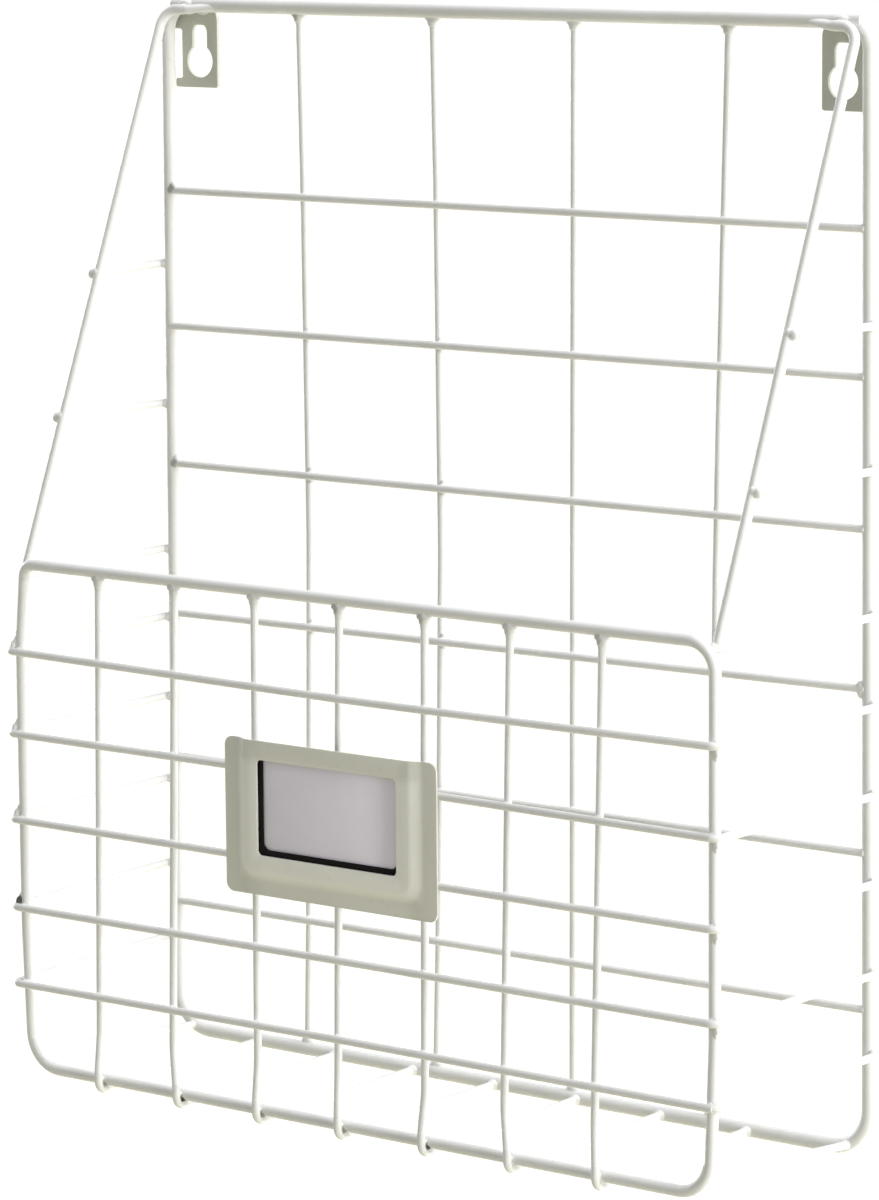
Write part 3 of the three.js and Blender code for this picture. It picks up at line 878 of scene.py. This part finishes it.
weld(
    "back_grid_welds",
    crossing(),
    [
        (upright_at(i, z), 0, cross_at(k, upright_x(i)))
        for i in range(len(UPRIGHT_SPRINGS))
        for k, z in enumerate(CROSS_HEIGHTS)
    ],
)
weld(
    "basket_grid_welds",
    crossing(),
    [
        (basket_at(i, z), WRAP_Y + LAYER, wrap_at(k, basket_at(i, z)))
        for i in range(len(BASKET_WIRE_X))
        for k, z in enumerate(WRAP_HEIGHTS)
    ],
)


def upright_end_welds(name, turn, z, spring):
    """The welds of the uprights' heads, with a turn of 1, or of their feet, with -1."""
    return weld(
        name,
        [
            stub((-6, 0, 0), (6, 0, 0), BACK_R),
            stub((0, LAYER, -9 * turn), (0, LAYER, -1 * turn), GRID_R),
            bead((0.5, 0.9, -2.9 * turn), (3.7, 2.0, 1.5)),
            bead((0.2, 1.0, -4.4 * turn), (2.3, 1.9, 2.0)),
        ],
        [(upright_x(i) + springs[spring], 0, z) for i, springs in enumerate(UPRIGHT_SPRINGS)],
        melt=8,
    )


upright_heads = upright_end_welds("upright_head_welds", 1, BACK_HEIGHT, 0)
upright_end_welds("upright_foot_welds", -1, 0.0, 2)
# Painted shade in the crevices under three uprights' heads
paint_crevice_shade(
    upright_heads,
    [
        (moved(upright_head(0), (-0.6, -0.6, -3.2)), 1.9, 0.35),
        (moved(upright_head(1), (2.2, -0.4, -3.2)), 1.6, 0.12),
        (moved(upright_head(3), (-0.4, -0.6, -3.6)), 1.8, 0.2),
    ],
)


def cross_weld(name, side, rows, beads):
    """The welds of some cross wires' ends, with beads given by their places and sizes."""
    return weld(
        name,
        [
            stub((0, 0, -6), (0, 0, 6), BACK_R),
            stub((-8 * side, -LAYER, 0), (-1 * side, -LAYER, 0), GRID_R),
            *[bead((-x * side, y, z), size) for (x, y, z), size in beads],
        ],
        [cross_seat(i, side) for i in rows],
        melt=8,
    )


proud = cross_weld(
    "cross_proud_left_welds", -1, (0, 2),
    [((2.9, -1.2, 1.1), (1.7, 1.8, 2.4)), ((4.0, -1.5, 0.6), (1.5, 1.7, 1.6))],
)
# Painted shade in the crevices of the two proud left cross welds
paint_crevice_shade(
    proud,
    [
        (moved(cross_seat(0, -1), (2.6, -2.6, 0.6)), 2.3, 0.5),
        (moved(cross_seat(2, -1), (2.6, -2.6, -0.2)), 2.3, 0.45),
    ],
)
FLUSH_BEADS = [((2.9, -1.4, 0), (1.3, 1.5, 1.6))]
cross_weld("cross_flush_left_welds", -1, (1, 3, 4, 5), FLUSH_BEADS)
flush = cross_weld("cross_flush_right_welds", 1, (0, 1, 2, 4, 5), FLUSH_BEADS)
# Painted shade in the crevice of the lowest cross wire's right weld
paint_crevice_shade(flush, [(moved(cross_seat(5, 1), (-4.2, -2.8, 0.3)), 1.5, 0.6)])
cross_weld(
    "cross_proud_right_weld", 1, (3,),
    [((3.0, -1.4, 1.0), (2.0, 1.7, 2.0)), ((2.8, -1.3, -1.4), (1.5, 1.6, 2.4))],
)

# Welds of the basket wires: at the front's top rail, round its bottom rail and at the rear rail

basket_step = BASKET_Y - FRONT_Y
basket_heads = [
    (x + head, FRONT_Y, FRONT_TOP) for x, head in zip(BASKET_WIRE_X, BASKET_WIRE_HEADS)
]
head_welds = weld(
    "basket_head_welds",
    [
        stub((-5, 0, 0), (5, 0, 0), FRONT_R),
        stub((0, basket_step, -7), (0, basket_step, -1), GRID_R),
        bead((-0.3, basket_step, -2.6), (3.4, 1.8, 1.5)),
        bead((-0.2, basket_step, -4.3), (2.3, 1.7, 2.0)),
        bead((-0.1, basket_step, -6.2), (1.75, 1.6, 2.4)),
    ],
    basket_heads,
    melt=6,
)
# Painted shade in the crevices beside the basket wires' heads
paint_crevice_shade(
    head_welds,
    [
        (moved(head, (-1.4, basket_step - 1.4, -3.2)), 2.2, share)
        for head, share in zip(basket_heads, (0.12, 0.1, 0.05, 0.4, 0.3, 0.12, 0.25))
    ],
)

# Where a thin wire bends round a post or a rail, the gap's middle is this far out both ways
hug = (FRONT_R + GAP / 2) * math.sqrt(0.5)
hook_welds = weld(
    "basket_hook_welds",
    [
        stub((-5, 0, 0), (5, 0, 0), FRONT_R),
        stub((0, -FRONT_OFFSET, -1), (0, -FRONT_OFFSET, 5), GRID_R),
        stub((0, -1, -FRONT_OFFSET), (0, 5, -FRONT_OFFSET), GRID_R),
        bead((0.4, -hug, -hug), (1.9, 1.4, 1.4)),
        bead((-0.2, -FRONT_R, 0.4), (1.6, 0.8, 1.3)),
    ],
    [(x, FRONT_Y, FRONT_FOOT) for x in BASKET_WIRE_X],
    melt=9,
    keep=0.4,
)
# Painted shade in the crevices to the right of the basket wires' hooks
paint_crevice_shade(
    hook_welds,
    [
        ((x + 3.0, FRONT_Y - 2.0, FRONT_FOOT - 0.9), 2.6, share)
        for x, share in zip(BASKET_WIRE_X, (0.6, 1.0, 0.7, 0.65, 0.95, 0.15, 0.05))
    ],
)
weld(
    "basket_tail_welds",
    [
        stub((-5, 0, 0), (5, 0, 0), BACK_R),
        stub((0, -7, 0), (0, -1, 0), GRID_R),
        bead((0, -2.9, 0), (2.4, 1.5, 2.0)),
    ],
    [(x, 0, 0) for x in BASKET_WIRE_X],
)

# Welds of the two sides

LOWEST_WRAP = len(WRAP_HEIGHTS) - 1


def wrap_corner_welds(name, side):
    """The welds of the upper wraparound wires on a front post, with a spot of painted shade on
    the left one.
    """
    welds = weld(
        f"wrap_corner_{name}_welds",
        [
            stub((0, 0, -8), (0, 0, 8), FRONT_R),
            stub((side, -FRONT_OFFSET, 0), (-5 * side, -FRONT_OFFSET, 0), GRID_R),
            stub((side * FRONT_OFFSET, -1, 0), (side * FRONT_OFFSET, 5, 0), GRID_R),
            bead((hug * side, -hug, 0), (1.5, 1.5, 1.7)),
            bead((0, -FRONT_R, 0), (1.3, 0.8, 1.7)),
            bead((2.4 * side, -2.0, -1.9 * side), (1.2, 1.3, 2.2)),
            bead((1.5 * side, -1.4, -3.4 * side), (1.1, 1.1, 2.6)),
        ],
        [(side * FRONT_HALF, FRONT_Y, wrap_end(i, side)[1][2]) for i in range(LOWEST_WRAP)],
        melt=8,
    )
    if side < 0:
        # Painted shade in a crevice just above the fourth wraparound wire's left corner
        shade_z = wrap_end(LOWEST_WRAP - 1, side)[1][2] + 2.8
        paint_crevice_shade(welds, [((-FRONT_HALF - 2.4, FRONT_Y - 2.4, shade_z), 2.4, 0.95)])


def lowest_wrap_weld(name, side):
    """The weld of the lowest wraparound wire, where the front post is already drawn in."""
    weld(
        f"lowest_wrap_{name}_weld",
        [
            stub((0, 0, -5), (0, 0, 5), FRONT_R),
            stub((3 * side, -FRONT_OFFSET, 0), (-5 * side, -FRONT_OFFSET, 0), GRID_R),
            bead((0, -FRONT_R, 0), (1.5, 0.9, 1.8)),
        ],
        [
            (
                side * front_half(WRAP_HEIGHTS[LOWEST_WRAP]),
                FRONT_Y,
                wrap_end(LOWEST_WRAP, side)[1][2],
            )
        ],
    )


def post_welds(name, side):
    """The welds on a back post, of the wraparound wires and of the side wires above them."""
    heights = [wrap_end(i, side)[0][2] for i in range(len(WRAP_HEIGHTS))]
    heights += [rear_z for rear_z, front_z in SIDE_WIRES[name]]
    weld(
        f"post_{name}_welds",
        [
            stub((0, 0, -5), (0, 0, 5), BACK_R),
            stub((side * BACK_OFFSET, -5, 0), (side * BACK_OFFSET, 2.4, 0), GRID_R),
            bead((side * (BACK_R + GAP / 2), 0, 0.4), (1.1, 1.9, 2.2)),
            bead((side * 2.5, -1.7, 0), (1.5, 1.6, 1.9)),
        ],
        [(side * back_half(z), 0, z) for z in heights],
    )


def stay_lean(side):
    """A step of 5 mm up a stay."""
    lean = Vector(mirrored(stay_top, side)) - Vector(mirrored(stay_foot, side))
    return lean * (5 / lean.length)


def stay_welds(name, side):
    """The welds of the two upper side wires' ends on a stay."""
    lean = stay_lean(side)
    reach = STAY_R + GRID_R + GAP
    weld(
        f"stay_{name}_welds",
        [
            stub(-lean, lean, STAY_R),
            stub((side * reach, -0.3, 0), (side * reach, 5, 0), GRID_R),
            bead((side * (STAY_R + GAP / 2), 0, 0), (1.3, 1.9, 2.4)),
            bead((side * 2.6, -0.6, 0), (2.3, 1.5, 2.1)),
            bead((side * 0.6, -1.1, 0.2), (1.6, 1.2, 2.2)),
        ],
        [mirrored(on_stay(z), side) for _, z in SIDE_WIRES[name][:LOWEST_SIDE_WIRE]],
    )


def stay_foot_weld(name, side):
    """The weld of a stay's foot behind the front frame's top corner."""
    corner = on_bend(FRONT_TOP_BENDS[name], FRONT_Y, 45)
    away = Vector(stay_foot) - Vector(corner)
    away.x *= side
    lean = stay_lean(side)
    weld(
        f"stay_foot_{name}_weld",
        [
            *bend_stubs(FRONT_TOP_BENDS[name], FRONT_R, 45, side),
            stub(away, away + lean, STAY_R),
            bead(away * 0.55, (1.9, 1.9, 1.9)),
            bead(away + lean * 0.08, (1.8, 1.8, 1.8)),
        ],
        [mirrored(corner, side)],
    )


def stay_hook_weld(name, side):
    """The weld of a stay's hook along the top rail, with the hook's end melted into the rail."""
    y = stay_top[1]
    taper = [
        bead(
            (-(1.2 + 1.5 * i) * side, y * (1 - 0.085 * i), 0.12 * i - HOOK_DROP),
            (3.2, 2.0 - 0.14 * i, 2.0 - 0.1 * i),
        )
        for i in range(8)
    ]
    weld(
        f"stay_hook_{name}_weld",
        [
            stub((-17 * side, 0, 0), (6 * side, 0, 0), BACK_R),
            stub((-0.6 * side, y, -HOOK_DROP), (6 * side, y, -HOOK_DROP), STAY_R),
            *taper,
            bead((1 * side, y / 2, 0.9), (3.4, 1.3, 1.3)),
            bead((1 * side, y / 2, -2.4), (3.0, 1.1, 1.1)),
        ],
        [(side * RAIL_WELD_X, 0, BACK_HEIGHT)],
        melt=26,
    )


for name, side in SIDES:
    wrap_corner_welds(name, side)
    lowest_wrap_weld(name, side)
    post_welds(name, side)
    stay_welds(name, side)
    stay_foot_weld(name, side)
    stay_hook_weld(name, side)


def butt_weld(name, side, bend, y, wire_radius, towards, degrees):
    """A thin wire's end welded squarely to the front or the back of a frame's bend."""
    seam = (wire_radius + 0.1) * towards
    weld(
        name,
        [
            *bend_stubs(bend, wire_radius, degrees, side),
            stub((0, towards, 0), (0, 8 * towards, 0), GRID_R),
            bead((0, seam, 0), (1.9, 1.2, 1.9)),
        ],
        [mirrored(on_bend(bend, y, degrees), side)],
    )


for name, side in SIDES:
    bend, turn = FRONT_TOP_BENDS[name], LOWEST_SIDE_TURNS[name]
    butt_weld(f"lowest_side_{name}_weld", side, bend, FRONT_Y, FRONT_R, 1, turn)
    butt_weld(
        f"foot_front_{name}_weld", side, FRONT_FOOT_BEND, FRONT_Y, FRONT_R, 1, FOOT_FRONT_TURN
    )
    butt_weld(f"foot_rear_{name}_weld", side, BACK_FOOT_BEND, 0, BACK_R, -1, FOOT_REAR_TURN)

# The tabs' seams behind the top rail, and the bezel's spots on the two wires that carry it

TAB_FRONT = BACK_R + GAP
for name, side in SIDES:
    weld(
        f"tab_{name}_seam",
        [
            stub((-9, 0, 0), (9, 0, 0), BACK_R),
            slab((-8, TAB_FRONT + 0.1, -8), (8, TAB_FRONT + 1.3, -1)),
            bead((-3.6, TAB_FRONT - 0.4, -2.4), (2.6, 0.9, 1.2)),
            bead((3.2, TAB_FRONT - 0.4, -2.5), (3.0, 0.9, 1.2)),
        ],
        [(side * RAIL_WELD_X, 0, BACK_HEIGHT)],
    )
weld(
    "bezel_spots",
    [
        stub((-4, 0, 0), (4, 0, 0), GRID_R),
        slab((-4, -GRID_R - GAP - 0.7, -4), (4, -GRID_R - GAP - 0.1, 4)),
        bead((0, -GRID_R - 0.1, 0), (2.2, 0.5, 1.3)),
    ],
    [
        (BASKET_MIDDLE + across, WRAP_Y, wrap_at(k, BASKET_MIDDLE + across))
        for k in (1, 2)
        for across in (-LABEL_SPOT, LABEL_SPOT)
    ],
)

# Sheet pieces: their edges are rolled over by the coat


def softened(name, node_name, width, segments, flat=1.0):
    """A merged copy of a solid, with its flats dissolved and its edges rounded.

    Faces that turn from each other by less than the angle named flat become one.
    """
    piece = bpy.data.objects.new(name, nodes[node_name].data.copy())
    bpy.context.scene.collection.objects.link(piece)
    take(piece)
    begin_edit("FACE")
    bpy.ops.mesh.select_all(action="SELECT")
    bpy.ops.mesh.remove_doubles(threshold=MERGE_REACH)
    bpy.ops.mesh.dissolve_limited(angle_limit=math.radians(flat))
    end_edit()
    apply_modifier(
        "BEVEL",
        width=width * MM,
        segments=segments,
        limit_method="ANGLE",
        angle_limit=math.radians(SHARP_EDGE),
    )
    return settle(piece, name, SHARP_EDGE)


for name, side in SIDES:
    plate = softened(f"tab_{name}", f"hanging_tab_{name}", 0.35, 3)
    # The tabs take the darker copy of the powder coat, as painted shade
    fit_piece(plate, shaded_tab_coat, "powder_coat", "rack", f"hanging_tab_{name}")

bezel = softened("bezel", "label_bezel", 0.22, 3, flat=0.5)
fit_piece(bezel, label_enamel, "label_enamel", "rack", "label_bezel")
carrier = softened("carrier", "label_carrier", 0.12, 2)
# The carrier's near-black finish is black plastic and partly painted shade for the gap round the
# card
fit_piece(carrier, carrier_black, "carrier_black", "rack", "label_carrier")
card = softened("name_card", "label_card", 0.1, 2)
fit_piece(card, card_paper, "card", "card", "label_card")

# Stage: a plain pale floor far below the rack, which hangs at reading height

FLOOR_Z = -1.45
FLOOR_SIZE = 60


def white_stage():
    """A pale floor that looks white to the camera and in reflections."""
    material, tree, shader = new_material("white_stage")
    shader.inputs["Base Color"].default_value = (0.57, 0.55, 0.42, 1)
    shader.inputs["Roughness"].default_value = 0.9
    shader.inputs["Emission Color"].default_value = (1, 1, 1, 1)
    seen = ray_kinds(tree, -900, 0, "Is Camera Ray", "Is Glossy Ray")
    glow = node(tree, "ShaderNodeMath", -400, 0, operation="MULTIPLY")
    glow.inputs[1].default_value = 0.7
    tree.links.new(seen, glow.inputs[0])
    tree.links.new(glow.outputs[0], shader.inputs["Emission Strength"])
    return material


clear_selection()
bpy.ops.mesh.primitive_plane_add(size=FLOOR_SIZE, location=(0, 0, FLOOR_Z))
floor = bpy.context.object
floor.name = "floor"
floor.data.materials.append(white_stage())

# Light


def studio_world():
    """White to the camera and in reflections. As light it is stronger from above and behind."""
    world = bpy.data.worlds.new("studio")
    world.use_nodes = True
    tree = world.node_tree
    tree.nodes.clear()
    seen = ray_kinds(tree, -900, 200, "Is Camera Ray", "Is Glossy Ray", "Is Transmission Ray")
    sky = node(tree, "ShaderNodeTexCoord", -1350, -60)
    lean = node(tree, "ShaderNodeVectorMath", -1150, -60, operation="DOT_PRODUCT")
    lean.inputs[1].default_value = (0.0, 0.2, 0.2)
    tree.links.new(sky.outputs["Generated"], lean.inputs[0])
    level = node(tree, "ShaderNodeMath", -950, -60, operation="ADD", use_clamp=True)
    level.inputs[1].default_value = 0.5
    tree.links.new(lean.outputs["Value"], level.inputs[0])
    parts = node(tree, "ShaderNodeSeparateXYZ", -1150, -300)
    tree.links.new(sky.outputs["Generated"], parts.inputs[0])
    sideways = node(tree, "ShaderNodeMapRange", -950, -300)
    sideways.inputs["From Min"].default_value = -1
    tree.links.new(parts.outputs["X"], sideways.inputs["Value"])
    hue = tint(
        tree, sideways.outputs["Result"], -750, -300,
        [(0.2, (0.94, 1.0, 1.15)), (0.55, (1.0, 0.985, 0.88)), (0.9, (1.0, 1.0, 1.0))],
    )
    fill = node(tree, "ShaderNodeBackground", -450, 0)
    tree.links.new(hue.outputs["Color"], fill.inputs["Color"])
    tree.links.new(level.outputs[0], fill.inputs["Strength"])
    shown = node(tree, "ShaderNodeBackground", -450, -150)
    shown.inputs["Color"].default_value = (1, 1, 1, 1)
    both = node(tree, "ShaderNodeMixShader", -200, 0)
    tree.links.new(seen, both.inputs["Fac"])
    tree.links.new(fill.outputs[0], both.inputs[1])
    tree.links.new(shown.outputs[0], both.inputs[2])
    output = node(tree, "ShaderNodeOutputWorld", 0, 0)
    tree.links.new(both.outputs[0], output.inputs["Surface"])
    return world


RACK_MIDDLE = Vector((0, -0.05, -0.2))


def soft_lamp(name, place, size, power, colour):
    """A round soft lamp aimed at the rack's middle."""
    data = bpy.data.lights.new(name, "AREA")
    data.shape = "DISK"
    data.size = size
    data.energy = power
    data.color = colour
    lamp = bpy.data.objects.new(name, data)
    lamp.location = place
    lamp.rotation_euler = (RACK_MIDDLE - Vector(place)).to_track_quat("-Z", "Y").to_euler()
    bpy.context.scene.collection.objects.link(lamp)


bpy.context.scene.world = studio_world()
soft_lamp("right_lamp", (3.4, 0.03, 0.5), 2.4, 142, (0.98, 0.99, 1.0))
soft_lamp("left_lamp", (-2.1, 0.45, 0.1), 1.2, 24, (0.97, 0.99, 1.0))
soft_lamp("top_lamp", (0.3, 0.45, 1.9), 1.2, 30, (0.98, 0.99, 1.0))
soft_lamp("low_lamp", (0.2, 0.75, -1.3), 1.0, 12, (1.0, 0.99, 0.96))

# Camera: its place and turns come from the two frames' corners in the photo

CAMERA_PLACE = (1.13483, -1.52978, 0.09204)
YAW = math.radians(37.4023)
PITCH = math.radians(9.1194)
ROLL = math.radians(0.4629)
FOCAL_PIXELS = 5011.67
PICTURE_HEIGHT = 1200
SENSOR_WIDTH = 36.0

camera_data = bpy.data.cameras.new("camera")
camera = bpy.data.objects.new("camera", camera_data)
bpy.context.scene.collection.objects.link(camera)
camera_data.sensor_width = SENSOR_WIDTH
camera_data.lens = SENSOR_WIDTH * FOCAL_PIXELS / PICTURE_HEIGHT
camera_data.clip_start = 0.05
camera_data.clip_end = 200.0
forward = Vector((
    -math.sin(YAW) * math.cos(PITCH),
    math.cos(YAW) * math.cos(PITCH),
    -math.sin(PITCH),
))
camera.location = CAMERA_PLACE
camera.rotation_mode = "QUATERNION"
camera.rotation_quaternion = forward.to_track_quat("-Z", "Y") @ Quaternion((0, 0, 1), -ROLL)
bpy.context.scene.camera = camera
bpy.context.scene.view_settings.view_transform = "Standard"
